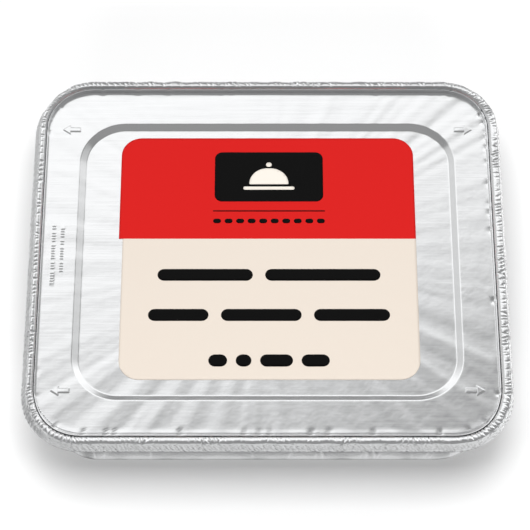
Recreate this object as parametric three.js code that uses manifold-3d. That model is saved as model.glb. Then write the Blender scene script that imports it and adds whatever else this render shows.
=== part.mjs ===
// A shut takeaway meal: a half-size aluminium foil tray, a foil lid held under its rolled rim, and a label.
// The pack can't be seen into, so the tray is solid: its foil and its contents are one body.
// Millimetres, +Z up. The origin is the centre of the tray's base, +X runs along the long side and -Y faces
// the front.
import * as THREE from "three";
import { mergeVertices } from "three/addons/utils/BufferGeometryUtils.js";
import Module from "manifold-3d";

// ---- driving dimensions ----
const LENGTH = 313; // over the lip of the rim, along X
const WIDTH = 271.5; // over the lip of the rim, along Y
const HEIGHT = 63; // base to the crest of the rim
const LIP_RADIUS = 39.5; // plan radius of the rim's corners, at the lip
const GAP = 0.3; // clearance between neighbouring solids

// Rim, from the lip inwards. Insets are measured in from the lip, drops down from the crest.
const SKIRT_FOIL = 0.9; // hemmed thickness of the skirt
const LIP_DROP = 12.5; // crest to the bottom of the skirt
const SHOULDER_INSET = 1.5; // outer face of the shoulder, where the skirt turns over into the crimped roll
const CREST_INSET = 6.0; // crest line of the roll, which is round from here down to the shoulder
const RIM_WIDTH = 8.6; // lip to the inner face of the roll
const RIM_FOIL = 1.5; // thickness of the folded foil at the top of the rim

// Lid. Its border stands up inside the roll, and its middle panel is stepped down.
const LID_FOIL = 0.8;
const LID_HEEL = 0.9; // small fillet where the flange turns up from the border
const BORDER_DROP = 5.0; // crest to the lid's flat border
const FLANGE_DROP = 1.6; // crest to the top edge of the lid's upturned flange
const STEP_LENGTH = 250; // outer edge of the step, along X
const STEP_WIDTH = 205; // outer edge of the step, along Y
const STEP_SHIFT = -1.1; // the step lies this far off the tray's centre, along Y
const STEP_RADIUS = 30.5; // plan radius of the step's corners
const STEP_RUN = 4.2; // how far the step slopes in
const STEP_DEPTH = 2.2; // border to middle panel

// Tray wall and base.
const NECK_INSET = 10.0; // top of the wall, under the roll
const NECK_DROP = 4.2; // crest to the underside of the rim at the wall
const NECK_ROUND = 0.9;
const BASE_INSET = 15.6; // foot of the wall
const BASE_FILLET = 3.2;
const BASE_RADIUS = 32; // plan radius of the wall's corners at the foot
const PLEAT_DEPTH = 0.9; // at the top of the corners, fading towards the foot
const CREASE_DEPTH = 0.35; // along the straight walls
const CRIMP_DEPTH = 0.25; // scallops along the crimped top of the rim
const RIB_INSET = 34; // groove pressed into the base, in from the lip
const RIB_WIDTH = 6;
const RIB_HEIGHT = 1.2;

// Arrows embossed on the border of the lid: one near each corner, pointing at the short sides.
const ARROW_X = 131.5; // arrow centre
const ARROW_Y = 96.8;
const ARROW_LENGTH = 12;
const ARROW_WIDTH = 7;
const ARROW_HEAD = 5.2; // length of the head
const ARROW_SHANK = 3; // width of the shank
const ARROW_RISE = 0.5; // above the border

// Label on the middle panel. The header is a little longer than the field below it.
const LABEL_THICK = 0.3;
const LABEL_RIGHT = 97.5;
const LABEL_LEFT = -95.0;
const LABEL_HEADER_LEFT = -97.5;
const LABEL_TOP = 91.3;
const LABEL_SPLIT = 14.0;
const LABEL_BOTTOM = -88.3;
const LABEL_RADIUS = 13.5;

// Steps round an outline. Corners are finer, so that they can carry the pleats.
const CORNER_STEPS = 16;
const LONG_STEPS = 10;
const SHORT_STEPS = 8;

const wasm = await Module();
wasm.setup();

const foil = { metalness: 1.0, color: 0xd6d8da };
const MATERIALS = {
  tray: new THREE.MeshStandardMaterial({ ...foil, roughness: 0.35 }),
  lid: new THREE.MeshStandardMaterial({ ...foil, roughness: 0.3 }),
  label: new THREE.MeshStandardMaterial({ color: 0xf3e8da, roughness: 0.55, metalness: 0.0 }),
};

// Points round a rounded rectangle, anticlockwise from above, each with its outward normal and the place it
// takes on its side or corner. Every outline has the same number of points, so that any two can be joined.
function outline(length, width, radius) {
  const points = [];
  const cx = length / 2 - radius;
  const cy = width / 2 - radius;
  const corners = [[cx, cy], [-cx, cy], [-cx, -cy], [cx, -cy]];
  corners.forEach(([x, y], k) => {
    const start = (k * Math.PI) / 2;
    for (let i = 0; i <= CORNER_STEPS; i++) {
      const a = start + (i / CORNER_STEPS) * (Math.PI / 2);
      const nx = Math.cos(a);
      const ny = Math.sin(a);
      const share = i / CORNER_STEPS;
      points.push({ x: x + radius * nx, y: y + radius * ny, nx, ny, step: i, share, corner: true });
    }
    const [x2, y2] = corners[(k + 1) % 4];
    const nx = Math.cos(start + Math.PI / 2);
    const ny = Math.sin(start + Math.PI / 2);
    const steps = k % 2 === 0 ? LONG_STEPS : SHORT_STEPS;
    for (let i = 1; i < steps; i++) {
      const t = i / steps;
      points.push({
        x: x + radius * nx + (x2 - x) * t,
        y: y + radius * ny + (y2 - y) * t,
        nx,
        ny,
        step: i,
        share: t,
        corner: false,
      });
    }
  });
  return points;
}

// How far a wall or rim point is moved along its outward normal: every other point of a corner is a pleat,
// deepest in the middle of the corner, and the straight sides carry shallow creases.
function pleat({ step, share, corner }, depth) {
  if (depth === 0) return 0;
  if (!corner) return step % 2 === 1 ? -(depth * CREASE_DEPTH) / PLEAT_DEPTH : 0;
  return step % 2 === 1 ? -depth * Math.sin(Math.PI * share) : 0;
}

// A closed solid made of rings, each given by its outline, height, pleat depth and shift along Y. The first
// ring is closed over at the top and the last one at the bottom.
function ringSolid(rings) {
  const positions = [];
  const indices = [];
  const count = outline(LENGTH, WIDTH, LIP_RADIUS).length;
  for (const { length, width, radius, z, pleats = 0, shift = 0 } of rings) {
    for (const p of outline(length, width, radius)) {
      const move = pleat(p, pleats);
      positions.push(p.x + p.nx * move, p.y + p.ny * move + shift, z);
    }
  }
  for (let r = 0; r + 1 < rings.length; r++) {
    for (let i = 0; i < count; i++) {
      const a = r * count + i;
      const b = r * count + ((i + 1) % count);
      indices.push(a, a + count, b + count, a, b + count, b);
    }
  }
  const top = positions.length / 3;
  const bottom = top + 1;
  const last = (rings.length - 1) * count;
  positions.push(0, 0, rings[0].z, 0, 0, rings[rings.length - 1].z);
  for (let i = 0; i < count; i++) {
    const next = (i + 1) % count;
    indices.push(top, i, next, bottom, last + next, last + i);
  }
  const geometry = new THREE.BufferGeometry();
  geometry.setAttribute("position", new THREE.Float32BufferAttribute(positions, 3));
  geometry.setIndex(indices);
  geometry.computeVertexNormals();
  return geometry;
}

// A closed three.js geometry as a solid that can be joined to others, and back.
function toManifold(geometry) {
  geometry.deleteAttribute("normal");
  geometry.deleteAttribute("uv");
  const merged = mergeVertices(geometry);
  const vertProperties = merged.attributes.position.array;
  const triVerts = new Uint32Array(merged.index.array);
  return new wasm.Manifold(new wasm.Mesh({ numProp: 3, vertProperties, triVerts }));
}

function toGeometry(manifold) {
  const { vertProperties, triVerts } = manifold.getMesh();
  const geometry = new THREE.BufferGeometry();
  geometry.setAttribute("position", new THREE.BufferAttribute(vertProperties, 3));
  geometry.setIndex(new THREE.BufferAttribute(triVerts, 1));
  geometry.computeVertexNormals();
  return geometry;
}

// A ring of the tray, inset from the lip, at a drop below the crest.
function trayRing(inset, drop, pleats = 0, radius = LIP_RADIUS - inset) {
  return { length: LENGTH - 2 * inset, width: WIDTH - 2 * inset, radius, z: HEIGHT - drop, pleats };
}

// A ring of the lid's step, grown outwards from the step's outer edge. A negative value is further in.
function stepRing(grow, drop) {
  return {
    length: STEP_LENGTH + 2 * grow,
    width: STEP_WIDTH + 2 * grow,
    radius: STEP_RADIUS + grow,
    z: HEIGHT - drop,
    shift: STEP_SHIFT,
  };
}

// Rings along a round edge of the rim, from one angle to another about a centre given as inset and drop.
// Angle 0 points outwards and 90 degrees points up.
function roundedRings(inset, drop, radius, fromDeg, toDeg, steps, pleats = 0) {
  const rings = [];
  for (let i = 0; i <= steps; i++) {
    const a = THREE.MathUtils.degToRad(fromDeg + ((toDeg - fromDeg) * i) / steps);
    rings.push(trayRing(inset - radius * Math.cos(a), drop - radius * Math.sin(a), pleats));
  }
  return rings;
}

// The tray, from the middle of its contents out over the rim, down the wall and in under the base.
function trayGeometry() {
  const contentsDrop = BORDER_DROP + LID_FOIL + GAP;
  const innerRoll = RIM_WIDTH - CREST_INSET;
  const outerRoll = CREST_INSET - SHOULDER_INSET;
  const hemRadius = SKIRT_FOIL / 2;
  const filletDrop = HEIGHT - BASE_FILLET;

  // The wall leans in towards the foot, and its corners open out to the base's larger radius.
  const wallRing = (drop) => {
    const share = (drop - NECK_DROP) / (HEIGHT - NECK_DROP);
    const inset = NECK_INSET + (BASE_INSET - NECK_INSET) * share;
    const neckRadius = LIP_RADIUS - NECK_INSET;
    const radius = neckRadius + (BASE_RADIUS - neckRadius) * share;
    return trayRing(inset, drop, PLEAT_DEPTH * (1 - 0.75 * share), radius);
  };
  const baseRing = (inset, drop) => trayRing(inset, drop, 0, BASE_RADIUS + BASE_INSET - inset);

  return ringSolid([
    stepRing(-STEP_RUN - LID_FOIL - GAP, contentsDrop + STEP_DEPTH),
    stepRing(-LID_FOIL - GAP, contentsDrop),
    trayRing(RIM_WIDTH, contentsDrop),
    ...roundedRings(CREST_INSET, innerRoll, innerRoll, 180, 90, 3),
    ...roundedRings(CREST_INSET, outerRoll, outerRoll, 68, 0, 3, CRIMP_DEPTH),
    ...roundedRings(hemRadius, LIP_DROP - hemRadius, hemRadius, 0, -180, 4),
    trayRing(SHOULDER_INSET + SKIRT_FOIL, outerRoll + RIM_FOIL),
    trayRing(SHOULDER_INSET + SKIRT_FOIL + RIM_FOIL, NECK_DROP),
    trayRing(NECK_INSET - NECK_ROUND, NECK_DROP),
    wallRing(NECK_DROP + NECK_ROUND),
    wallRing(HEIGHT * 0.2),
    wallRing(HEIGHT * 0.5),
    wallRing(filletDrop),
    ...[30, 60, 90].map((degrees) => {
      const a = THREE.MathUtils.degToRad(degrees);
      return baseRing(BASE_INSET + BASE_FILLET * (1 - Math.cos(a)), filletDrop + BASE_FILLET * Math.sin(a));
    }),
    baseRing(RIB_INSET - RIB_WIDTH / 2, HEIGHT),
    baseRing(RIB_INSET - RIB_WIDTH / 6, HEIGHT - RIB_HEIGHT),
    baseRing(RIB_INSET + RIB_WIDTH / 6, HEIGHT - RIB_HEIGHT),
    baseRing(RIB_INSET + RIB_WIDTH / 2, HEIGHT),
  ]);
}

// One embossed arrow, pointing along +X. Its foot is sunk into the lid, so that the two join.
function arrowGeometry() {
  const neck = ARROW_LENGTH / 2 - ARROW_HEAD;
  const foot = LID_FOIL / 2;
  const arrow = new THREE.Shape();
  arrow.moveTo(-ARROW_LENGTH / 2, -ARROW_SHANK / 2);
  arrow.lineTo(neck, -ARROW_SHANK / 2);
  arrow.lineTo(neck, -ARROW_WIDTH / 2);
  arrow.lineTo(ARROW_LENGTH / 2, 0);
  arrow.lineTo(neck, ARROW_WIDTH / 2);
  arrow.lineTo(neck, ARROW_SHANK / 2);
  arrow.lineTo(-ARROW_LENGTH / 2, ARROW_SHANK / 2);
  arrow.closePath();
  const solid = new THREE.ExtrudeGeometry(arrow, { depth: foot + ARROW_RISE, bevelEnabled: false });
  return solid.translate(0, 0, HEIGHT - BORDER_DROP - foot);
}

// The lid's foil, before the arrows are joined on: the middle panel, the step, the border and the flange.
function lidSheet() {
  const outer = RIM_WIDTH + GAP;
  const inner = outer + LID_FOIL;
  return ringSolid([
    stepRing(-STEP_RUN, BORDER_DROP + STEP_DEPTH),
    stepRing(0, BORDER_DROP),
    trayRing(inner + LID_HEEL, BORDER_DROP),
    trayRing(inner + LID_HEEL * 0.3, BORDER_DROP - LID_HEEL * 0.3),
    trayRing(inner, BORDER_DROP - LID_HEEL),
    trayRing(inner, FLANGE_DROP),
    trayRing(outer, FLANGE_DROP),
    trayRing(outer, BORDER_DROP + LID_FOIL),
    stepRing(-LID_FOIL, BORDER_DROP + LID_FOIL),
    stepRing(-STEP_RUN - LID_FOIL, BORDER_DROP + LID_FOIL + STEP_DEPTH),
  ]);
}

// The lid with its four arrows.
function lidGeometry() {
  let lid = toManifold(lidSheet());
  for (const side of [1, -1]) {
    for (const end of [1, -1]) {
      const arrow = arrowGeometry();
      if (side < 0) arrow.rotateZ(Math.PI);
      lid = lid.add(toManifold(arrow.translate(side * ARROW_X, end * ARROW_Y, 0)));
    }
  }
  return toGeometry(lid);
}

// The label's outline: a header with round top corners, over a slightly shorter field with round lower ones.
function labelGeometry() {
  const r = LABEL_RADIUS;
  const shape = new THREE.Shape();
  shape.moveTo(LABEL_HEADER_LEFT, LABEL_SPLIT);
  shape.lineTo(LABEL_LEFT, LABEL_SPLIT);
  shape.lineTo(LABEL_LEFT, LABEL_BOTTOM + r);
  shape.absarc(LABEL_LEFT + r, LABEL_BOTTOM + r, r, Math.PI, 1.5 * Math.PI, false);
  shape.lineTo(LABEL_RIGHT - r, LABEL_BOTTOM);
  shape.absarc(LABEL_RIGHT - r, LABEL_BOTTOM + r, r, 1.5 * Math.PI, 2 * Math.PI, false);
  shape.lineTo(LABEL_RIGHT, LABEL_TOP - r);
  shape.absarc(LABEL_RIGHT - r, LABEL_TOP - r, r, 0, 0.5 * Math.PI, false);
  shape.lineTo(LABEL_HEADER_LEFT + r, LABEL_TOP);
  shape.absarc(LABEL_HEADER_LEFT + r, LABEL_TOP - r, r, 0.5 * Math.PI, Math.PI, false);
  shape.closePath();
  return new THREE.ExtrudeGeometry(shape, { depth: LABEL_THICK, bevelEnabled: false, curveSegments: 12 });
}

function named(name, geometry, material) {
  const mesh = new THREE.Mesh(geometry, material);
  mesh.name = name;
  return mesh;
}

const pack = new THREE.Group();
pack.add(named("tray", trayGeometry(), MATERIALS.tray));
pack.add(named("lid", lidGeometry(), MATERIALS.lid));

const label = named("label", labelGeometry(), MATERIALS.label);
label.position.z = HEIGHT - BORDER_DROP - STEP_DEPTH;
pack.add(label);

export default pack;
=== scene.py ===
"""A shut takeaway meal in a half-size aluminium foil tray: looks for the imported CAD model.

The tray is made as two pieces of foil, its rolled and crimped rim and its pleated body. The lid is a stepped
sheet of foil tucked inside the rim, and the label is a printed sheet on the lid's middle panel.
Sizes are in millimetres and are turned to metres where a mesh is made.
"""

import math
import random

import bmesh
import bpy
import numpy as np
from mathutils import Matrix, Vector


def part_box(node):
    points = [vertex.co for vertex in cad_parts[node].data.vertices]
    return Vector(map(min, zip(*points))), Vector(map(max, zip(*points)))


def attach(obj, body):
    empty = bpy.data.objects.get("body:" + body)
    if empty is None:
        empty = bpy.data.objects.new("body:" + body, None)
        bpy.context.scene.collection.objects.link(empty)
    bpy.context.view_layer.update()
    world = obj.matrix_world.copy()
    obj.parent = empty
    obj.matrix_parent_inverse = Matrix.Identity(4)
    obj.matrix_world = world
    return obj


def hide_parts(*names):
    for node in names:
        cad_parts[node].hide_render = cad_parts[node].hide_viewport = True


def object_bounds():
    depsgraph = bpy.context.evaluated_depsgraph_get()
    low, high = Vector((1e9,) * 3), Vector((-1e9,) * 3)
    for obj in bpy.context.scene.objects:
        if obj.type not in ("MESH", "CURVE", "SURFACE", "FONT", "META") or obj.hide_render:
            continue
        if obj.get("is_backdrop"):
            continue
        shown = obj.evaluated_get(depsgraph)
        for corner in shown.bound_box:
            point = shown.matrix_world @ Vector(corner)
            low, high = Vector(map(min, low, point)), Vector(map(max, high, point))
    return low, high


MM = 0.001
SEED = 41

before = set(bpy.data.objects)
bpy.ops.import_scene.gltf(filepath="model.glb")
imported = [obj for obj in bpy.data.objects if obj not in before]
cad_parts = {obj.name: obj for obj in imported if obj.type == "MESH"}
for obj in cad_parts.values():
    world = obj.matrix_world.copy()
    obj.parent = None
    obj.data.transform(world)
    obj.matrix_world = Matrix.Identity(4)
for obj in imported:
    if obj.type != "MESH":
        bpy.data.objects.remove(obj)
cad_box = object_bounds()

# ---- sizes, from the frame and from a few driving dimensions ----
_, tray_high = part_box("tray")
_, lid_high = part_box("lid")
label_low, label_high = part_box("label")

HALF_LENGTH = tray_high.x / MM
HALF_WIDTH = tray_high.y / MM
CREST = tray_high.z / MM
LIP_RADIUS = 39.5

# The rim, as insets from the lip and drops from the crest. Its roll is round on both sides of the crest.
CREST_INSET = 6.0
INNER_ROLL = 2.6
OUTER_ROLL = 4.5
RIM_WIDTH = CREST_INSET + INNER_ROLL
SHOULDER_INSET = CREST_INSET - OUTER_ROLL
LIP_DROP = 12.5
HEM_RADIUS = 0.45
UNDERSIDE_INSET = 5.2
UNDERSIDE_DROP = OUTER_ROLL + 2.0
NECK_INSET = 10.0
NECK_DROP = 4.2
WALL_TOP = CREST - NECK_DROP - 1.3

# How far the rim is from even. Its front is pressed out, and the lid's edge a little less with it. Its crest
# leans to the front on both long sides, and outwards on the left and on the right. Its left skirt flares.
FRONT_PRESS = 2.6
PRESS_RISE = 5.0
PRESS_FADE = (31.0, 12.0)
CREST_LEAN = 1.4
CREST_SPREAD = (0.6, 1.9)
SKIRT_FLARE = 2.2

# The crimps over the rim's roll, drawn from these ranges and from a lean's mean and spread, and the finer
# relief of the skirt.
CRIMP_SPACING = (1.8, 4.1)
CRIMP_LEAN = (0.3, 0.35)
CRIMP_BOW = 0.05
CRIMP_WIDTH = (0.42, 0.72)
CRIMP_DEPTH = (0.4, 0.9)
CRIMP_START = (-2.2, 0.8)
CRIMP_END = (5.5, 9.5)
CRIMP_REACH = 10.0
STIPPLE = 0.14
WRINKLE = 0.1
SWAY = 0.16

# The wall and the groove in the base. The wall bows in over its height, and bulges back a little midway.
BASE_INSET = 15.6
BASE_FILLET = 3.2
FOOT_RADIUS = 32.0
WALL_BOW = 2.0
WALL_BULGE = 0.9
BULGE_HEIGHT = 30.0
BULGE_REACH = 9.0
PLEAT_DEPTH = 1.2
DENT_DEPTH = 0.22
CREASES = 74
CREASE_WIDTH = (0.45, 0.95)
CREASE_DEPTH = (0.4, 1.0)
RIB_INSET = 34.0
RIB_WIDTH = 6.0
RIB_HEIGHT = 1.2

# The lid. Its flange stands up inside the rim, with a small heel at its foot, round a flat border. The middle
# panel is stepped down from the border, and lies a little nearer the front than the rim does.
LID_FOIL = 0.8
LID_GAP = 0.3
LID_EDGE = 0.7
HEEL_WIDTH = 0.6
HEEL_HEIGHT = 0.9
HEEL_EASE = 0.12
FLANGE_INSET = HALF_LENGTH - lid_high.x / MM + LID_EDGE
FLANGE_DROP = CREST - lid_high.z / MM
BORDER_DROP = 5.0
STEP_DEPTH = CREST - BORDER_DROP - label_low.z / MM
STEP_HALF = Vector((125.0, 102.5))
STEP_SHIFT = -1.1
STEP_RADIUS = 30.5
STEP_RUN = 4.2
NICKS = 44
NICK_DEPTH = (0.2, 0.6)
NICK_WIDTH = 0.9

# What is pressed up out of the lid's border: an arrow in each corner, and two rows of ticks on the left, each
# given by its place across and by where it starts and ends.
ARROW_PLACE = Vector((131.5, 96.8))
ARROW_LENGTH = 12.0
ARROW_WIDTH = 7.0
ARROW_HEAD = 5.2
ARROW_SHANK = 3.0
ARROW_RISE = 0.42
TICK_ROWS = ((-140.2, -20.0, 25.0), (-134.4, -11.0, 17.0))
TICK_LENGTH = (1.9, 2.3)
TICK_HALF_WIDTH = 0.45
TICK_PITCH = 1.9
WORD_GAP = 1.6
TICK_RISE = 0.26
PRESSED_EDGE = (-0.15, 0.25)

# The label's header is a little longer than the field below it. The lifts are heights over the lid's panel.
LABEL_RADIUS = 13.5
LABEL_SPLIT = 14.0
LABEL_STEP = 2.5
LABEL_PITCH = 2.0
PAPER_LIFT = 0.1
PAPER_THICKNESS = 0.2
DARK_INK_LIFT = 0.3
PALE_INK_LIFT = 0.4
INK_THICKNESS = 0.1

# Fineness of the meshes: the length of a face round the rim, the wall and the lid, and what counts as joined.
RIM_PITCH = 0.43
WALL_PITCH = 0.75
LID_PITCH = 1.45
MERGE_DISTANCE = 1e-3
LEVEL_MATCH = 0.02


# ---- small tools ----
def linear(code):
    """A colour given as an sRGB hex string, as linear RGBA."""
    channels = [int(code[i : i + 2], 16) / 255 for i in (0, 2, 4)]
    return (*[c / 12.92 if c <= 0.04045 else ((c + 0.055) / 1.055) ** 2.4 for c in channels], 1.0)


def smooth(value, low, high):
    """A smooth rise from 0 at low to 1 at high, for numbers or arrays."""
    share = np.clip((value - low) / (high - low), 0.0, 1.0)
    return share * share * (3 - 2 * share)


def finished(mesh, name, materials):
    """Turns a bmesh in millimetres into a smooth-shaded piece that rides on the pack."""
    bmesh.ops.scale(mesh, vec=Vector((MM, MM, MM)), verts=mesh.verts)
    data = bpy.data.meshes.new(name)
    mesh.to_mesh(data)
    mesh.free()
    for material in materials:
        data.materials.append(material)
    data.shade_smooth()
    piece = bpy.data.objects.new(name, data)
    bpy.context.scene.collection.objects.link(piece)
    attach(piece, "root")
    return piece


def moved(mesh, displacement):
    """Moves every vertex by a function of the arrays of places and outward directions."""
    mesh.normal_update()
    places = np.array([v.co[:] for v in mesh.verts])
    facing = np.array([v.normal[:] for v in mesh.verts])
    for vert, step in zip(mesh.verts, displacement(places, facing)):
        vert.co += Vector(step)


# ---- sweeping a profile round a rounded rectangle ----
def chain(mesh, points, closed):
    """Joins points into a chain of edges."""
    verts = [mesh.verts.new(point) for point in points]
    following = verts[1:] + verts[:1] if closed else verts[1:]
    return verts + [mesh.edges.new(pair) for pair in zip(verts, following)]


def swept(mesh, profile, half, radius, steps, closed=False):
    """Sweeps a profile of (inset, height) points round a quarter of a rounded rectangle.

    steps are those along the short side, round the corner and along the long side.
    """
    centre = Vector((half[0] - radius, half[1] - radius, 0))
    geometry = chain(mesh, [(half[0] - inset, 0, height) for inset, height in profile], closed)
    stretches = (
        (steps[0], 0, (0, centre.y / steps[0], 0)),
        (steps[1], math.pi / 2, (0, 0, 0)),
        (steps[2], 0, (-centre.x / steps[2], 0, 0)),
    )
    for count, angle, push in stretches:
        made = bmesh.ops.spin(
            mesh, geom=geometry, cent=centre, axis=(0, 0, 1), dvec=push, angle=angle, steps=count,
            use_merge=False, use_normal_flip=False, use_duplicate=False,
        )
        geometry = made["geom_last"]


def steps_for(half, radius, pitch):
    """Steps of about the pitch for a quarter: along its short side, round the corner, along its long side."""
    lengths = (half[1] - radius, math.pi / 2 * radius, half[0] - radius)
    return tuple(round(length / pitch) for length in lengths)


def mirrored(mesh):
    """Makes the whole of what is modelled as one quarter."""
    for axis in "XY":
        everything = mesh.verts[:] + mesh.edges[:] + mesh.faces[:]
        bmesh.ops.mirror(mesh, geom=everything, matrix=Matrix(), merge_dist=1e-4, axis=axis)
    bmesh.ops.remove_doubles(mesh, verts=mesh.verts, dist=MERGE_DISTANCE)


def faced_outwards(mesh):
    """Turns the faces of a closed form to look outwards."""
    bmesh.ops.recalc_face_normals(mesh, faces=mesh.faces)
    if mesh.calc_volume(signed=True) < 0:
        bmesh.ops.reverse_faces(mesh, faces=mesh.faces)


def bridged(mesh, heights, rows):
    """Joins the open edges that lie at the given heights with rows of faces."""
    def level_with(vert):
        return min(abs(vert.co.z - height) for height in heights) < LEVEL_MATCH

    loops = [e for e in mesh.edges if e.is_boundary and all(level_with(v) for v in e.verts)]
    made = bmesh.ops.bridge_loops(mesh, edges=loops)
    across = {e for face in made["faces"] for e in face.edges} - set(loops)
    bmesh.ops.subdivide_edges(mesh, edges=list(across), cuts=rows - 1, use_grid_fill=True)


def capped(mesh):
    """Fills the open loops that are left, and turns the closed form's faces outwards."""
    bmesh.ops.holes_fill(mesh, edges=[e for e in mesh.edges if e.is_boundary], sides=0)
    faced_outwards(mesh)


def around(places, half, radius):
    """Where points lie round a rounded rectangle: the share of a lap, and how far they are into a corner."""
    x, y = places[:, 0], places[:, 1]
    cx, cy = half[0] - radius, half[1] - radius
    over_x, over_y = np.abs(x) - cx, np.abs(y) - cy
    turn = np.arctan2(np.maximum(over_y, 0), np.maximum(over_x, 1e-9))
    quarter = cy + math.pi / 2 * radius + cx
    run = np.minimum(np.abs(y), cy) + turn * radius + cx - np.minimum(np.abs(x), cx)
    run = np.where(over_x > 0, np.minimum(np.abs(y), cy) + turn * radius, run)
    right = np.where(y >= 0, run, 4 * quarter - run)
    left = np.where(y >= 0, 2 * quarter - run, 2 * quarter + run)
    lap = np.where(x >= 0, right, left)
    corner = np.where((over_x > 0) & (over_y > 0), np.sin(2 * turn), 0.0)
    return lap / (4 * quarter), corner


def lap_length(half, radius):
    """Length of a lap round a rounded rectangle."""
    return 4 * (half[0] + half[1] - 2 * radius + math.pi / 2 * radius)


class Waves:
    """Uneven waves that close up round the rim: each is a whole number of waves in a lap."""

    def __init__(self, rng, pitches, count, lap):
        low, high = sorted(lap / pitch for pitch in pitches)
        self.terms = [
            (round(rng.uniform(low, high)), rng.uniform(0, math.tau), rng.uniform(-1, 1))
            for _ in range(count)
        ]

    def __call__(self, lap, across=0.0):
        """Height of the waves, mostly within -1 and 1. across leans each wave its own way."""
        total = sum(
            np.sin(math.tau * number * lap + phase + lean * across) for number, phase, lean in self.terms
        )
        return total / math.sqrt(len(self.terms))


# ---- the tray's rim ----
RIM_HALF = (HALF_LENGTH, HALF_WIDTH)
RIM_LAP = lap_length(RIM_HALF, LIP_RADIUS)


def arc(inset, drop, radius, start, end, steps):
    """Points of a round edge, with angles in degrees: 0 points outwards from the tray and 90 points up."""
    angles = [math.radians(start + (end - start) * i / steps) for i in range(steps + 1)]
    return [(inset - radius * math.cos(a), CREST - drop + radius * math.sin(a)) for a in angles]


def line(start, end, steps):
    """Points from one (inset, drop) place to another, leaving out both ends."""
    shares = [i / steps for i in range(1, steps)]
    return [
        (start[0] + (end[0] - start[0]) * t, CREST - start[1] - (end[1] - start[1]) * t) for t in shares
    ]


def rim_profile():
    """The rim's closed section: up the inside of the roll, over the crest, down the skirt and back under."""
    hem_drop = LIP_DROP - HEM_RADIUS
    return [
        (RIM_WIDTH, CREST - BORDER_DROP - 1.0),
        *line((RIM_WIDTH, BORDER_DROP + 1.0), (RIM_WIDTH, INNER_ROLL), 2),
        *arc(CREST_INSET, INNER_ROLL, INNER_ROLL, 180, 90, 4),
        *arc(CREST_INSET, OUTER_ROLL, OUTER_ROLL, 80, 0, 9),
        *line((SHOULDER_INSET, OUTER_ROLL), (0, hem_drop), 11),
        *arc(HEM_RADIUS, hem_drop, HEM_RADIUS, 0, -180, 3),
        *line((2 * HEM_RADIUS, hem_drop), (UNDERSIDE_INSET, UNDERSIDE_DROP), 2),
        (UNDERSIDE_INSET, CREST - UNDERSIDE_DROP),
        (UNDERSIDE_INSET + 0.6, CREST - NECK_DROP),
        (RIM_WIDTH, CREST - NECK_DROP - 0.4),
        (RIM_WIDTH + 0.6, CREST - BORDER_DROP - 1.0),
    ]


def inset_of(places):
    """Distance in from the lip, in plan."""
    over_x = np.abs(places[:, 0]) - (HALF_LENGTH - LIP_RADIUS)
    over_y = np.abs(places[:, 1]) - (HALF_WIDTH - LIP_RADIUS)
    corner = np.hypot(np.maximum(over_x, 0), np.maximum(over_y, 0))
    return LIP_RADIUS - np.where((over_x > 0) & (over_y > 0), corner, np.maximum(over_x, over_y))


def outward(places):
    """The plan direction out of the tray at each place."""
    reach = np.array([HALF_LENGTH - LIP_RADIUS, HALF_WIDTH - LIP_RADIUS])
    away = places[:, :2] - np.clip(places[:, :2], -reach, reach)
    length = np.hypot(away[:, 0], away[:, 1])
    return np.column_stack([away, np.zeros(len(places))]) / np.maximum(length, 1e-6)[:, None]


def rolled_by_hand(places, facing):
    """The rim isn't even: its roll is pressed out along the front, its crest leans to the front on both long
    sides and outwards on the short ones, and its skirt flares on the left."""
    out = outward(places)
    inset, drop = inset_of(places), CREST - places[:, 2]
    pressed = (1 - (1 - np.clip(inset / PRESS_RISE, 0, 1)) ** 2) * smooth(inset, *PRESS_FADE)
    front = smooth(-out[:, 1], 0.2, 1.0) * FRONT_PRESS * pressed
    upper_skirt = smooth(drop, LIP_DROP - 0.5, OUTER_ROLL) * smooth(inset, CREST_INSET, SHOULDER_INSET + 0.3)
    left = smooth(-out[:, 0], 0.2, 1.0) * SKIRT_FLARE * upper_skirt
    near_crest = np.exp(-(((inset - CREST_INSET + 1) / 2) ** 2))
    spread = np.where(out[:, 0] < 0, *CREST_SPREAD) * out[:, 0]
    forwards = -CREST_LEAN * smooth(np.abs(out[:, 1]), 0.3, 1.0)
    lean = near_crest[:, None] * np.column_stack([spread, forwards, np.zeros(len(places))])
    return out * (front - left)[:, None] + lean


def crimp_places(rng):
    """Where the crimps lie and how strong each is: closer together and stronger about the corners and in
    clusters along the sides."""
    clusters = Waves(rng, (40, 90), 5, RIM_LAP)
    quarter = RIM_LAP / 4
    straight = HALF_WIDTH - LIP_RADIUS
    bend = math.pi / 2 * LIP_RADIUS
    place = 0.0
    while place < RIM_LAP:
        corner = 0.35 if straight < place % quarter < straight + bend else 0
        strength = min(max(0.65 + 0.5 * clusters(place / RIM_LAP) + corner, 0.3), 1.1)
        yield place / RIM_LAP, strength
        place += rng.uniform(*CRIMP_SPACING) / (0.5 + 0.6 * strength)


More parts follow.
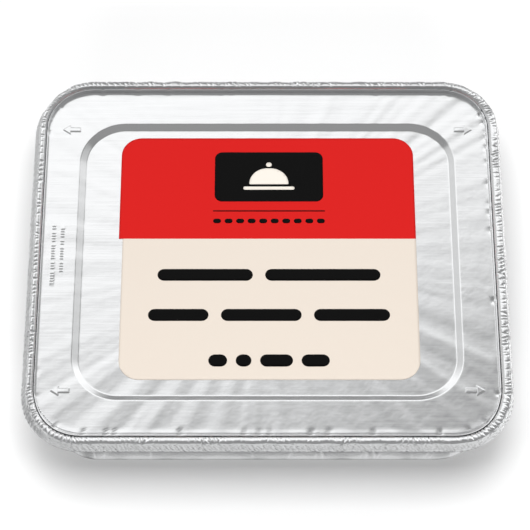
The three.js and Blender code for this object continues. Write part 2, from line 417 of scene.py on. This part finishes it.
def crimped(places, facing):
    """Sharp folds across the roll where the foil was crimped over, a stippled skirt and a wavy lip."""
    rng = random.Random(SEED)
    lap, _ = around(places, RIM_HALF, LIP_RADIUS)
    drop = CREST - places[:, 2]

    # The distance over the roll from its crest, which is negative towards the lid.
    over = CREST_INSET - inset_of(places)
    across = np.where(over < 0, over - drop, over + drop)
    depth = np.zeros(len(places))
    for place, strength in crimp_places(rng):
        lean, bow = rng.gauss(*CRIMP_LEAN), rng.uniform(-CRIMP_BOW, CRIMP_BOW)
        width, deep = rng.uniform(*CRIMP_WIDTH), strength * rng.uniform(*CRIMP_DEPTH)
        start, end = rng.uniform(*CRIMP_START), rng.uniform(*CRIMP_END)
        away = ((lap - place + 0.5) % 1.0 - 0.5) * RIM_LAP
        near = np.nonzero((np.abs(away) < CRIMP_REACH) & (across < end + 1.5))[0]
        v = across[near]
        share = (away[near] - lean * (v - 3) - bow * (v - 3) ** 2) / width
        fold = (1 - 0.7 * share**2) * np.exp(-(share**2))
        depth[near] -= deep * fold * smooth(v, start - 1.0, start + 0.6) * smooth(v, end + 1.2, end - 0.8)
    skirt = smooth(across, 7.5, 10.0) * smooth(drop, LIP_DROP + 0.3, LIP_DROP - 0.8) * (facing[:, 2] > -0.5)
    grain = [Waves(rng, (1.6, 4.5), 6, RIM_LAP) for _ in range(4)]
    stipple = sum(g(lap, drop * (4.0 + 1.3 * k)) for k, g in enumerate(grain)) / 2
    wrinkle = Waves(rng, (3.0, 7.0), 6, RIM_LAP)
    sway = Waves(rng, (14, 60), 6, RIM_LAP)
    outer = smooth(across, 1.0, 5.0) * smooth(drop, LIP_DROP + 0.5, LIP_DROP - 2.0)
    depth += skirt * (STIPPLE * stipple + WRINKLE * wrinkle(lap, drop * 0.5))
    depth += outer * SWAY * (sway(lap) - 0.6)
    return facing * depth[:, None]


def rolled_rim(material):
    """The rim, swept round from its section, then pressed out of true and crimped."""
    mesh = bmesh.new()
    steps = steps_for(RIM_HALF, LIP_RADIUS, RIM_PITCH)
    swept(mesh, rim_profile(), RIM_HALF, LIP_RADIUS, steps, closed=True)
    mirrored(mesh)
    faced_outwards(mesh)
    moved(mesh, rolled_by_hand)
    moved(mesh, crimped)
    piece = finished(mesh, "rolled_rim", [material])
    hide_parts("tray")
    return piece


# ---- the tray's body ----
FOOT_HALF = (HALF_LENGTH - BASE_INSET, HALF_WIDTH - BASE_INSET)
WALL_ROWS = 24


def neck_profile():
    """From the contents under the lid out to the neck, which is the top of the wall."""
    contents = BORDER_DROP + LID_FOIL + LID_GAP
    inner = NECK_INSET - 0.6
    return [
        (RIB_INSET + 2.0, CREST - contents - STEP_DEPTH),
        (RIB_INSET - 3.5, CREST - contents),
        (NECK_INSET + 2.5, CREST - contents),
        (inner, CREST - contents),
        (inner, CREST - NECK_DROP - 0.4),
        (NECK_INSET, WALL_TOP),
    ]


def base_profile():
    """From the foot of the wall in under the base, over the groove pressed into it."""
    fillet = [math.radians(90 * i / 5) for i in range(6)]
    groove = RIB_INSET - BASE_INSET
    rib_half = RIB_WIDTH / 2
    return [
        *[(BASE_FILLET * (1 - math.cos(a)), BASE_FILLET * (1 - math.sin(a))) for a in fillet],
        (groove - rib_half - 3.0, 0.0),
        (groove - rib_half, 0.0),
        (groove - rib_half * 0.6, RIB_HEIGHT * 0.35),
        (groove - rib_half * 0.3, RIB_HEIGHT),
        (groove + rib_half * 0.3, RIB_HEIGHT),
        (groove + rib_half * 0.6, RIB_HEIGHT * 0.35),
        (groove + rib_half, 0.0),
    ]


def pleated(places, facing):
    """Pleats drawn into the corners, sharp creases at uneven places along the sides, and soft dents."""
    rng = random.Random(SEED + 1)
    pleats = Waves(rng, (4.2, 5.4), 3, RIM_LAP)
    dents = Waves(rng, (18, 60), 7, RIM_LAP)
    lap, corner = around(places, RIM_HALF, LIP_RADIUS)
    height = places[:, 2]
    wall = smooth(height, 0.5, 6.0) * smooth(height, 58.9, 56.0) * (np.abs(facing[:, 2]) < 0.6)
    share = height / CREST
    bow = 4 * WALL_BOW * share * (1 - share)
    bulge = WALL_BULGE * np.exp(-(((height - BULGE_HEIGHT) / BULGE_REACH) ** 2))
    drawn = -PLEAT_DEPTH * np.abs(pleats(lap, height * 0.02)) * corner * (0.35 + 0.65 * share)
    depth = drawn - (bow - bulge) + DENT_DEPTH * dents(lap, height * 0.03)
    for _ in range(CREASES):
        place, lean = rng.random(), rng.uniform(-0.12, 0.12)
        width, deep = rng.uniform(*CREASE_WIDTH), rng.uniform(*CREASE_DEPTH)
        away = ((lap - place + lean * (height - 40) / RIM_LAP + 0.5) % 1.0 - 0.5) * RIM_LAP
        depth = depth - deep * np.exp(-np.abs(away) / width) * smooth(height, -4, 12)
    return facing * (depth * wall)[:, None]


def foil_body(material):
    """The tray below its rim: the neck, the pleated wall and the base, closed over the top by the food."""
    mesh = bmesh.new()
    steps = steps_for(RIM_HALF, LIP_RADIUS, WALL_PITCH)
    swept(mesh, neck_profile(), RIM_HALF, LIP_RADIUS, steps)
    swept(mesh, base_profile(), FOOT_HALF, FOOT_RADIUS, steps)
    mirrored(mesh)
    bridged(mesh, (WALL_TOP, BASE_FILLET), WALL_ROWS)
    capped(mesh)
    moved(mesh, pleated)
    piece = finished(mesh, "foil_body", [material])
    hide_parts("tray")
    return piece


# ---- the lid ----
BORDER = CREST - BORDER_DROP
PANEL = BORDER - STEP_DEPTH


def folds(places):
    """Height of the soft folds and finer buckles that fan out over the lid, strongest towards its corners."""
    rng = random.Random(SEED + 2)
    across, along = places[:, 0] / HALF_LENGTH, places[:, 1] / HALF_WIDTH
    lap = np.arctan2(places[:, 1], places[:, 0]) / math.tau
    out = np.hypot(across, along)
    broad = Waves(rng, (16, 32), 7, RIM_LAP * 0.8)
    narrow = Waves(rng, (7, 14), 7, RIM_LAP * 0.8)
    diagonal = smooth(np.minimum(np.abs(across), np.abs(along)), 0.3, 0.75)
    strength = smooth(out, 0.15, 0.85)
    soft = (0.05 + 0.035 * diagonal) * broad(lap, out * 1.5)
    buckled = (0.01 + 0.02 * diagonal) * narrow(lap, out)
    return strength * (soft + buckled)


def arrow_depth(places, centre, heading):
    """How far points are inside one arrow's outline, negative outside it."""
    along = (places[:, 0] - centre[0]) * heading
    across = np.abs(places[:, 1] - centre[1])
    neck = ARROW_LENGTH / 2 - ARROW_HEAD
    shank = np.minimum(np.minimum(along + ARROW_LENGTH / 2, neck + 0.2 - along), ARROW_SHANK / 2 - across)
    slope = math.atan2(ARROW_WIDTH / 2, ARROW_HEAD)
    tip = (ARROW_LENGTH / 2 - along) * math.sin(slope) - across * math.cos(slope)
    head = np.minimum(along - neck, tip)
    return np.maximum(shank, head)


def tick_depth(places, row_x, low_y, high_y, rng):
    """How far points are inside a row of short raised ticks, grouped as words are, negative outside them."""
    depth = np.full(len(places), -1.0)
    y = low_y
    while y < high_y:
        for _ in range(rng.randint(2, 6)):
            length = rng.uniform(*TICK_LENGTH)
            inside = np.minimum(
                length / 2 - np.abs(places[:, 0] - row_x), TICK_HALF_WIDTH - np.abs(places[:, 1] - y)
            )
            depth = np.maximum(depth, inside)
            y += TICK_PITCH
        y += WORD_GAP
    return depth


def embossed(places):
    """Height of the four arrows and the rows of short ticks that are pressed up out of the lid's border."""
    arrows = np.full(len(places), -1.0)
    for heading in (1, -1):
        for end in (1, -1):
            centre = (heading * ARROW_PLACE.x, end * ARROW_PLACE.y)
            arrows = np.maximum(arrows, arrow_depth(places, centre, heading))
    rng = random.Random(SEED + 3)
    ticks = np.full(len(places), -1.0)
    for row_x, low_y, high_y in TICK_ROWS:
        ticks = np.maximum(ticks, tick_depth(places, row_x, low_y, high_y, rng))
    return ARROW_RISE * smooth(arrows, *PRESSED_EDGE) + TICK_RISE * smooth(ticks, *PRESSED_EDGE)


def panel_shifted(places, facing):
    """The step and the middle panel lie off the tray's centre, and the border takes up the difference."""
    share = smooth(inset_of(places), FLANGE_INSET + HEEL_WIDTH, HALF_LENGTH - STEP_HALF.x - 3)
    return np.outer(share, (0, STEP_SHIFT, 0))


def lid_relief(places, facing):
    """Lifts the lid's upper side with its folds and pressed marks, eases the heel along both long sides onto
    the border, and nicks the foot of the flange."""
    rng = random.Random(SEED + 4)
    z, inset = places[:, 2], inset_of(places)
    upper = smooth(z, PANEL - 0.6, PANEL - 0.2) * smooth(inset, FLANGE_INSET - 0.05, FLANGE_INSET + 3)
    lift = upper * (folds(places) + embossed(places))

    heel_top = BORDER + HEEL_HEIGHT
    heel = smooth(z, BORDER - 0.5, BORDER - 0.1) * smooth(z, heel_top + 0.3, heel_top - 0.5)
    ease = HEEL_EASE * np.exp(-np.maximum(inset - FLANGE_INSET - HEEL_WIDTH, 0) / 0.7)
    lift = lift + ease * heel * smooth(np.abs(outward(places)[:, 1]), 0.2, 1.0)

    lap, _ = around(places, RIM_HALF, LIP_RADIUS)
    near_flange = smooth(inset, FLANGE_INSET + 4.0, FLANGE_INSET + 0.5) * smooth(z, BORDER - 0.6, BORDER)
    for _ in range(NICKS):
        place, deep = rng.random(), rng.uniform(*NICK_DEPTH)
        away = ((lap - place + 0.5) % 1.0 - 0.5) * RIM_LAP
        lift = lift - near_flange * deep * np.exp(-((away / NICK_WIDTH) ** 2))
    return np.outer(lift, (0, 0, 1))


def finer(mesh, low, high, cuts):
    """Subdivides the upper faces inside a box in plan, so that they can carry relief."""
    edges = {
        edge
        for face in mesh.faces
        if face.normal.z > 0.5 and low[0] < face.calc_center_median().x < high[0]
        and low[1] < face.calc_center_median().y < high[1]
        for edge in face.edges
    }
    bmesh.ops.subdivide_edges(mesh, edges=list(edges), cuts=cuts, use_grid_fill=True)


def foil_lid(material):
    """The lid's foil: an upturned flange inside the rim, a flat border, a step and a sunken middle panel."""
    mesh = bmesh.new()
    top = CREST - FLANGE_DROP
    outer = FLANGE_INSET - LID_EDGE
    curve = [math.radians(90 - 15 * i) for i in range(7)]
    under_step = HALF_LENGTH - STEP_HALF.x - LID_FOIL
    flange = [
        (under_step + STEP_RUN, PANEL - LID_FOIL),
        (under_step, BORDER - LID_FOIL),
        (outer, BORDER - LID_FOIL),
        (outer, top - 0.16),
        (outer + 0.05, top - 0.03),
        (outer + 0.11, top),
        (FLANGE_INSET - 0.13, top - 0.12),
        (FLANGE_INSET - 0.05, top - 0.17),
        (FLANGE_INSET, top - 0.3),
        *[
            (FLANGE_INSET + HEEL_WIDTH * (1 - math.sin(a)), BORDER + HEEL_HEIGHT * (1 - math.cos(a)))
            for a in curve
        ],
        *[(FLANGE_INSET + HEEL_WIDTH + run, BORDER) for run in (0.2, 0.5, 0.9, 1.4, 2.2)],
    ]
    edge, bend, apron = 0.45, 0.17, 1.2
    step = [
        (-apron, BORDER),
        (-edge, BORDER),
        (0.0, BORDER - 0.02),
        (edge, BORDER - bend),
        (STEP_RUN - edge, PANEL + bend),
        (STEP_RUN, PANEL + 0.02),
        (STEP_RUN + edge, PANEL),
        (STEP_RUN + apron, PANEL),
    ]
    inner = STEP_RADIUS - STEP_RUN - apron
    inwards = [(STEP_RUN + apron + inner * i / 16, PANEL) for i in range(1, 17)]
    steps = steps_for(STEP_HALF, STEP_RADIUS, LID_PITCH)
    swept(mesh, flange, RIM_HALF, LIP_RADIUS, steps)
    swept(mesh, step + inwards, STEP_HALF, STEP_RADIUS, steps)
    mirrored(mesh)

    middle = STEP_HALF - Vector((STEP_RADIUS, STEP_RADIUS))
    bmesh.ops.create_grid(
        mesh, x_segments=2 * steps[2], y_segments=2 * steps[0], size=1.0,
        matrix=Matrix.Translation((0, 0, PANEL)) @ Matrix.Diagonal((middle.x, middle.y, 1, 1)),
    )
    bmesh.ops.remove_doubles(mesh, verts=mesh.verts, dist=MERGE_DISTANCE)

    bridged(mesh, (BORDER,), 14)
    capped(mesh)

    moved(mesh, panel_shifted)
    reach = Vector((ARROW_LENGTH, ARROW_WIDTH)) / 2 + Vector((1, 1))
    for side in (1, -1):
        for end in (1, -1):
            centre = Vector((side * ARROW_PLACE.x, end * ARROW_PLACE.y))
            finer(mesh, centre - reach, centre + reach, 5)
    for row_x, low_y, high_y in TICK_ROWS:
        finer(mesh, (row_x - 1.6, low_y - 1), (row_x + 1.6, high_y + 4), 4)
    moved(mesh, rolled_by_hand)
    moved(mesh, lid_relief)
    piece = finished(mesh, "foil_lid", [material])
    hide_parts("lid")
    return piece


# ---- the label ----
LABEL_LOW = label_low / MM
LABEL_HIGH = label_high / MM


def plate(mesh, low, high, radii, segments=10):
    """A flat face between two corners, with a radius for each corner, from the low one anticlockwise."""
    size = Vector((high[0] - low[0], high[1] - low[1]))
    middle = Vector((low[0] + high[0], low[1] + high[1], 0)) / 2
    made = bmesh.ops.create_grid(
        mesh, x_segments=1, y_segments=1, size=0.5,
        matrix=Matrix.Translation(middle) @ Matrix.Diagonal((size.x, size.y, 1, 1)),
    )
    corners = {(v.co.x > middle.x, v.co.y > middle.y): v for v in made["verts"]}
    order = ((False, False), (True, False), (True, True), (False, True))
    for place, radius in zip(order, radii):
        if radius > 0:
            bmesh.ops.bevel(
                mesh, geom=[corners[place]], offset=radius, offset_type="OFFSET", affect="VERTICES",
                segments=segments, profile=0.5, material=-1,
            )


def gridded(mesh, pitch):
    """Cuts flat faces into a grid, so that they can follow the foil under them."""
    for axis in (Vector((1, 0, 0)), Vector((0, 1, 0))):
        places = [v.co.dot(axis) for v in mesh.verts]
        count = math.ceil((max(places) - min(places)) / pitch)
        for i in range(1, count):
            offset = min(places) + (max(places) - min(places)) * i / count
            bmesh.ops.bisect_plane(
                mesh, geom=mesh.verts[:] + mesh.edges[:] + mesh.faces[:], dist=1e-4, plane_co=axis * offset,
                plane_no=axis, use_snap_center=False, clear_outer=False, clear_inner=False,
            )


def laid_on_foil(mesh, height, thickness):
    """Gives flat faces a thickness and lays them on the lid's middle panel, following its folds."""
    raised = bmesh.ops.extrude_face_region(mesh, geom=mesh.faces[:])
    top = [item for item in raised["geom"] if isinstance(item, bmesh.types.BMVert)]
    bmesh.ops.translate(mesh, vec=(0, 0, thickness), verts=top)
    bmesh.ops.translate(mesh, vec=(0, 0, height), verts=mesh.verts)
    faced_outwards(mesh)
    moved(mesh, lambda places, facing: np.outer(folds(places), (0, 0, 1)))


def label_sheet(header_paper, field_paper):
    """The label's paper: a header and a field in their own colours."""
    mesh = bmesh.new()
    field_low = (LABEL_LOW.x + LABEL_STEP, LABEL_LOW.y)
    plate(mesh, (LABEL_LOW.x, LABEL_SPLIT), LABEL_HIGH, (0, 0, LABEL_RADIUS, LABEL_RADIUS))
    plate(mesh, field_low, (LABEL_HIGH.x, LABEL_SPLIT), (LABEL_RADIUS, LABEL_RADIUS, 0, 0))
    gridded(mesh, LABEL_PITCH)
    bmesh.ops.remove_doubles(mesh, verts=mesh.verts, dist=MERGE_DISTANCE)
    laid_on_foil(mesh, PANEL + PAPER_LIFT, PAPER_THICKNESS)
    for face in mesh.faces:
        face.material_index = 0 if face.calc_center_median().y > LABEL_SPLIT else 1
    piece = finished(mesh, "label_sheet", [header_paper, field_paper])
    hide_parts("label")
    return piece


# Generic print, as places in the label's own plane: a dish mark in the header, and lines of bars under it. A
# line is its place up the label, its bars' widths, their thickness and the gap between them. They are a rule
# and a row of dashes in the header, and three lines in the field, grouped as words are.
MARK_CENTRE = Vector((1.0, 61.2))
MARK_SIZE = Vector((72.0, 38.0))
PRINTED_LINES = (
    (35.0, (74.0,), 0.8, 0),
    (27.4, (5.2,) * 10, 3.4, 2.4),
    (-12.9, (62.0, 75.0), 8.6, 8.0),
    (-42.2, (39.0, 52.0, 49.0), 8.6, 8.0),
    (-74.8, (12.0, 10.0, 21.0, 18.0), 8.6, 5.5),
)


def bars(mesh, y, widths, thickness, gap):
    """One line of round-ended bars, centred under the mark."""
    x = MARK_CENTRE.x - (sum(widths) + gap * (len(widths) - 1)) / 2
    for width in widths:
        plate(mesh, (x, y - thickness / 2), (x + width, y + thickness / 2), (thickness / 2 - 0.01,) * 4, 6)
        x += width + gap


def dark_print(ink):
    """The dark mark's plate and the lines of bars."""
    mesh = bmesh.new()
    half = MARK_SIZE / 2
    plate(mesh, MARK_CENTRE - half, MARK_CENTRE + half, (5.0,) * 4)
    for printed_line in PRINTED_LINES:
        bars(mesh, *printed_line)
    gridded(mesh, LABEL_PITCH)
    laid_on_foil(mesh, PANEL + DARK_INK_LIFT, INK_THICKNESS)
    piece = finished(mesh, "dark_print", [ink])
    return piece


def pale_print(ink):
    """A covered dish on the dark mark: a dome with a knob, over a flat plate."""
    mesh = bmesh.new()
    x, y = MARK_CENTRE
    plate(mesh, (x - 17, y - 10), (x + 17, y - 7.6), (1.1,) * 4, 5)
    plate(mesh, (x - 13, y - 5.8), (x + 13, y + 6.5), (0.6, 0.6, 12.2, 12.2), 14)
    plate(mesh, (x - 1.9, y + 7.6), (x + 1.9, y + 11.0), (1.65,) * 4, 6)
    gridded(mesh, LABEL_PITCH)
    laid_on_foil(mesh, PANEL + PALE_INK_LIFT, INK_THICKNESS)
    piece = finished(mesh, "pale_print", [ink])
    return piece


# ---- materials ----
def add(tree, kind, settings):
    """Adds a node with its settings, by the name or place of a property or an input. Another node's output,
    given for an input, is linked to it."""
    made = tree.nodes.new(kind)
    for key, value in settings.items():
        if isinstance(value, bpy.types.NodeSocket):
            tree.links.new(made.inputs[key], value)
        elif isinstance(key, str) and hasattr(made, key):
            setattr(made, key, value)
        else:
            made.inputs[key].default_value = value
    return made


def material(name, settings):
    """A material with one principled shader, its tree and its shader."""
    made = bpy.data.materials.new(name)
    made.use_nodes = True
    tree = made.node_tree
    tree.nodes.clear()
    shader = add(tree, "ShaderNodeBsdfPrincipled", settings)
    add(tree, "ShaderNodeOutputMaterial", {"Surface": shader.outputs["BSDF"]})
    return made, tree, shader


def rolled_foil(name, roughness, streak_mm, dent_mm):
    """Household-gauge aluminium foil, bright side out. Rolling leaves fine streaks along the sheet, which run
    along the pack's long side, and handling leaves shallow dents. It mirrors the room in soft patches."""
    made, tree, shader = material(name, {"Metallic": 1.0, "Base Color": linear("F3F4F5")})
    place = add(tree, "ShaderNodeTexCoord", {}).outputs["Object"]
    streak_scale = (1 / (70 * streak_mm * MM), 1 / (streak_mm * MM), 1 / (streak_mm * MM))
    along = add(tree, "ShaderNodeMapping", {"Scale": streak_scale, "Vector": place}).outputs["Vector"]
    streaks = add(
        tree, "ShaderNodeTexNoise", {"Scale": 1.0, "Detail": 3.0, "Roughness": 0.6, "Vector": along}
    ).outputs["Fac"]
    dents = add(
        tree, "ShaderNodeTexNoise",
        {"Scale": 1 / (dent_mm * MM), "Detail": 2.0, "Roughness": 0.5, "Vector": place},
    ).outputs["Fac"]
    gloss = add(
        tree, "ShaderNodeMapRange",
        {
            "From Min": 0.3, "From Max": 0.7, "To Min": roughness - 0.04, "To Max": roughness + 0.05,
            "Value": streaks,
        },
    )
    pressed = add(tree, "ShaderNodeBump", {"Strength": 0.13, "Distance": 0.6 * MM, "Height": dents})
    brushed = add(
        tree, "ShaderNodeBump",
        {"Strength": 0.06, "Distance": 0.08 * MM, "Height": streaks, "Normal": pressed.outputs["Normal"]},
    )
    tree.links.new(shader.inputs["Roughness"], gloss.outputs["Result"])
    tree.links.new(shader.inputs["Normal"], brushed.outputs["Normal"])
    return made


def printed_paper(name, code):
    """Coated label paper under flat offset ink. The ink film is even, with a faint mottle from the fibres."""
    made, tree, shader = material(name, {"IOR": 1.45, "Roughness": 0.6, "Specular IOR Level": 0.15})
    place = add(tree, "ShaderNodeTexCoord", {}).outputs["Object"]
    fibres = add(
        tree, "ShaderNodeTexNoise",
        {"Scale": 1 / (0.9 * MM), "Detail": 3.0, "Roughness": 0.6, "Vector": place},
    ).outputs["Fac"]
    colour = linear(code)
    darker = (*[channel * 0.97 for channel in colour[:3]], 1.0)

    # A Mix node's sockets for colours share their names with its sockets for numbers, so they go by place.
    tint = add(tree, "ShaderNodeMix", {"data_type": "RGBA", 0: fibres, 6: darker, 7: colour}).outputs[2]
    grain = add(tree, "ShaderNodeBump", {"Strength": 0.1, "Distance": 0.03 * MM, "Height": fibres})
    tree.links.new(shader.inputs["Base Color"], tint)
    tree.links.new(shader.inputs["Normal"], grain.outputs["Normal"])
    return made


lid_foil = rolled_foil("bright_rolled_lid_foil", 0.19, 0.9, 9.0)
tray_foil = rolled_foil("bright_rolled_tray_foil", 0.21, 0.9, 4.0)
red_paper = printed_paper("red_printed_label_paper", "CF1D1B")
cream_paper = printed_paper("cream_printed_label_paper", "DFD4C8")
black_ink = printed_paper("black_offset_ink", "050505")
pale_ink = printed_paper("cream_offset_ink", "EDE6DC")

rolled_rim(tray_foil)
foil_body(tray_foil)
foil_lid(lid_foil)
label_sheet(red_paper, cream_paper)
dark_print(black_ink)
pale_print(pale_ink)


# ---- the studio ----
FLOOR_REACH = 3000.0
WALL_BRIGHTNESS = 1.12


def look(obj, place, target):
    """Puts a lamp or camera at a place, in metres, facing a target."""
    obj.location = place
    obj.rotation_euler = (Vector(target) - Vector(place)).to_track_quat("-Z", "Y").to_euler()


def softbox(name, place, target, size, power, mirrored_by_foil=True):
    """A rectangular lamp. One that the foil doesn't mirror only fills the matt surfaces with light."""
    lamp = bpy.data.lights.new(name, "AREA")
    lamp.shape = "RECTANGLE"
    lamp.size, lamp.size_y = size
    lamp.energy = power
    obj = bpy.data.objects.new(name, lamp)
    obj.visible_glossy = mirrored_by_foil
    bpy.context.scene.collection.objects.link(obj)
    look(obj, place, target)


def floor():
    """A plain pale floor that the foil doesn't mirror."""
    mesh = bmesh.new()
    bmesh.ops.create_grid(mesh, x_segments=1, y_segments=1, size=FLOOR_REACH)
    bmesh.ops.scale(mesh, vec=Vector((MM, MM, MM)), verts=mesh.verts)
    data = bpy.data.meshes.new("floor")
    mesh.to_mesh(data)
    mesh.free()
    painted, _, _ = material(
        "pale_floor", {"Base Color": linear("FCFCFC"), "Roughness": 0.9, "Specular IOR Level": 0.0}
    )
    data.materials.append(painted)
    obj = bpy.data.objects.new("floor", data)
    obj.visible_glossy = False
    bpy.context.scene.collection.objects.link(obj)
    obj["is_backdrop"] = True


floor()
softbox("right_softbox", (0.78, 0.62, 0.82), (-0.12, -0.02, 0.06), (0.8, 0.8), 0.72)
softbox("overhead_fill", (0, -0.1, 1.5), (0, 0, 0.06), (0.8, 0.8), 13.5, False)
softbox("front_fill", (0, -1.7, 0.8), (0, 0, 0.03), (1.6, 0.8), 16.2, False)


def studio_world():
    """The room that the foil mirrors, given by direction: a bright wall behind the pack, dimmer at its foot
    and towards the left, a dark side in front, and a table below that is darkest right under the pack."""
    world = bpy.data.worlds.new("studio")
    world.use_nodes = True
    tree = world.node_tree
    tree.nodes.clear()
    heading = add(tree, "ShaderNodeTexCoord", {}).outputs["Generated"]
    right, back, up = add(tree, "ShaderNodeSeparateXYZ", {"Vector": heading}).outputs
    to_wall = add(
        tree, "ShaderNodeVectorMath", {"operation": "DOT_PRODUCT", 0: heading, 1: (-0.4, 1.0, 0.0)}
    ).outputs["Value"]

    # Each brightness or share changes smoothly, from a first to a second level, between two places along one
    # direction. The wall's edge is soft low down and crisp high up.
    slopes = {
        "crisp": (to_wall, 0.36, 0.485, 0.0, 1.0),
        "soft": (to_wall, 0.12, 0.6, 0.0, 1.0),
        "high": (up, 0.66, 0.8, 0.0, 1.0),
        "foot": (back, 0.85, 0.96, 1.0, 0.0),
        "left": (right, -0.64, -0.4, 0.42, 1.0),
        "front": (back, -0.95, -0.45, 0.19, 0.31),
        "middle": (back, -0.2, 0.35, 1.0, 0.8),
        "straight_down": (up, -0.97, -0.885, 0.2, 0.74),
        "outwards": (up, -0.85, -0.45, 1.0, 0.55),
        "across": (right, -0.4, 0.4, 0.88, 1.12),
        "behind": (back, -0.3, 0.4, 0.95, 1.45),
        "below": (up, -0.2, 0.1, 1.0, 0.0),
    }
    level = {}
    for name, (direction, low, high, first, second) in slopes.items():
        level[name] = add(
            tree, "ShaderNodeMapRange",
            {
                "interpolation_type": "SMOOTHSTEP", "Value": direction,
                "From Min": low, "From Max": high, "To Min": first, "To Max": second,
            },
        ).outputs["Result"]

    level["wall"] = add(
        tree, "ShaderNodeMix",
        {"data_type": "FLOAT", "Factor": level["high"], "A": level["soft"], "B": level["crisp"]},
    ).outputs["Result"]
    products = {
        "dark_side": ("front", "middle"),
        "dimmed": ("foot", "left"),
        "lit": ("wall", "dimmed"),
        "ring": ("straight_down", "outwards"),
        "slant": ("across", "behind"),
        "table": ("ring", "slant"),
    }
    for name, (first, second) in products.items():
        level[name] = add(
            tree, "ShaderNodeMath", {"operation": "MULTIPLY", 0: level[first], 1: level[second]}
        ).outputs["Value"]
    upper = add(
        tree, "ShaderNodeMix",
        {"data_type": "FLOAT", "Factor": level["lit"], "A": level["dark_side"], "B": WALL_BRIGHTNESS},
    ).outputs["Result"]
    room = add(
        tree, "ShaderNodeMix",
        {"data_type": "FLOAT", "Factor": level["below"], "A": upper, "B": level["table"]},
    ).outputs["Result"]
    background = add(tree, "ShaderNodeBackground", {"Color": room}).outputs["Background"]
    add(tree, "ShaderNodeOutputWorld", {"Surface": background})
    bpy.context.scene.world = world


studio_world()
bpy.context.scene.view_settings.view_transform = "Standard"

# The camera looks down from the front, with the pack filling most of the picture. Its places are in metres.
CAMERA_ELEVATION = math.radians(61.6)
CAMERA_DISTANCE = 1.470
CAMERA_LENS = 153.5
CAMERA_AIM = Vector((-0.0016, -0.0072, 0.0591))

camera_data = bpy.data.cameras.new("camera")
camera_data.lens = CAMERA_LENS
camera_data.clip_end = 20
camera = bpy.data.objects.new("camera", camera_data)
bpy.context.scene.collection.objects.link(camera)
away_from_pack = Vector((0, -math.cos(CAMERA_ELEVATION), math.sin(CAMERA_ELEVATION)))
look(camera, CAMERA_AIM + away_from_pack * CAMERA_DISTANCE, CAMERA_AIM)
bpy.context.scene.camera = camera

[[list(corner) for corner in box] for box in (cad_box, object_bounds())]
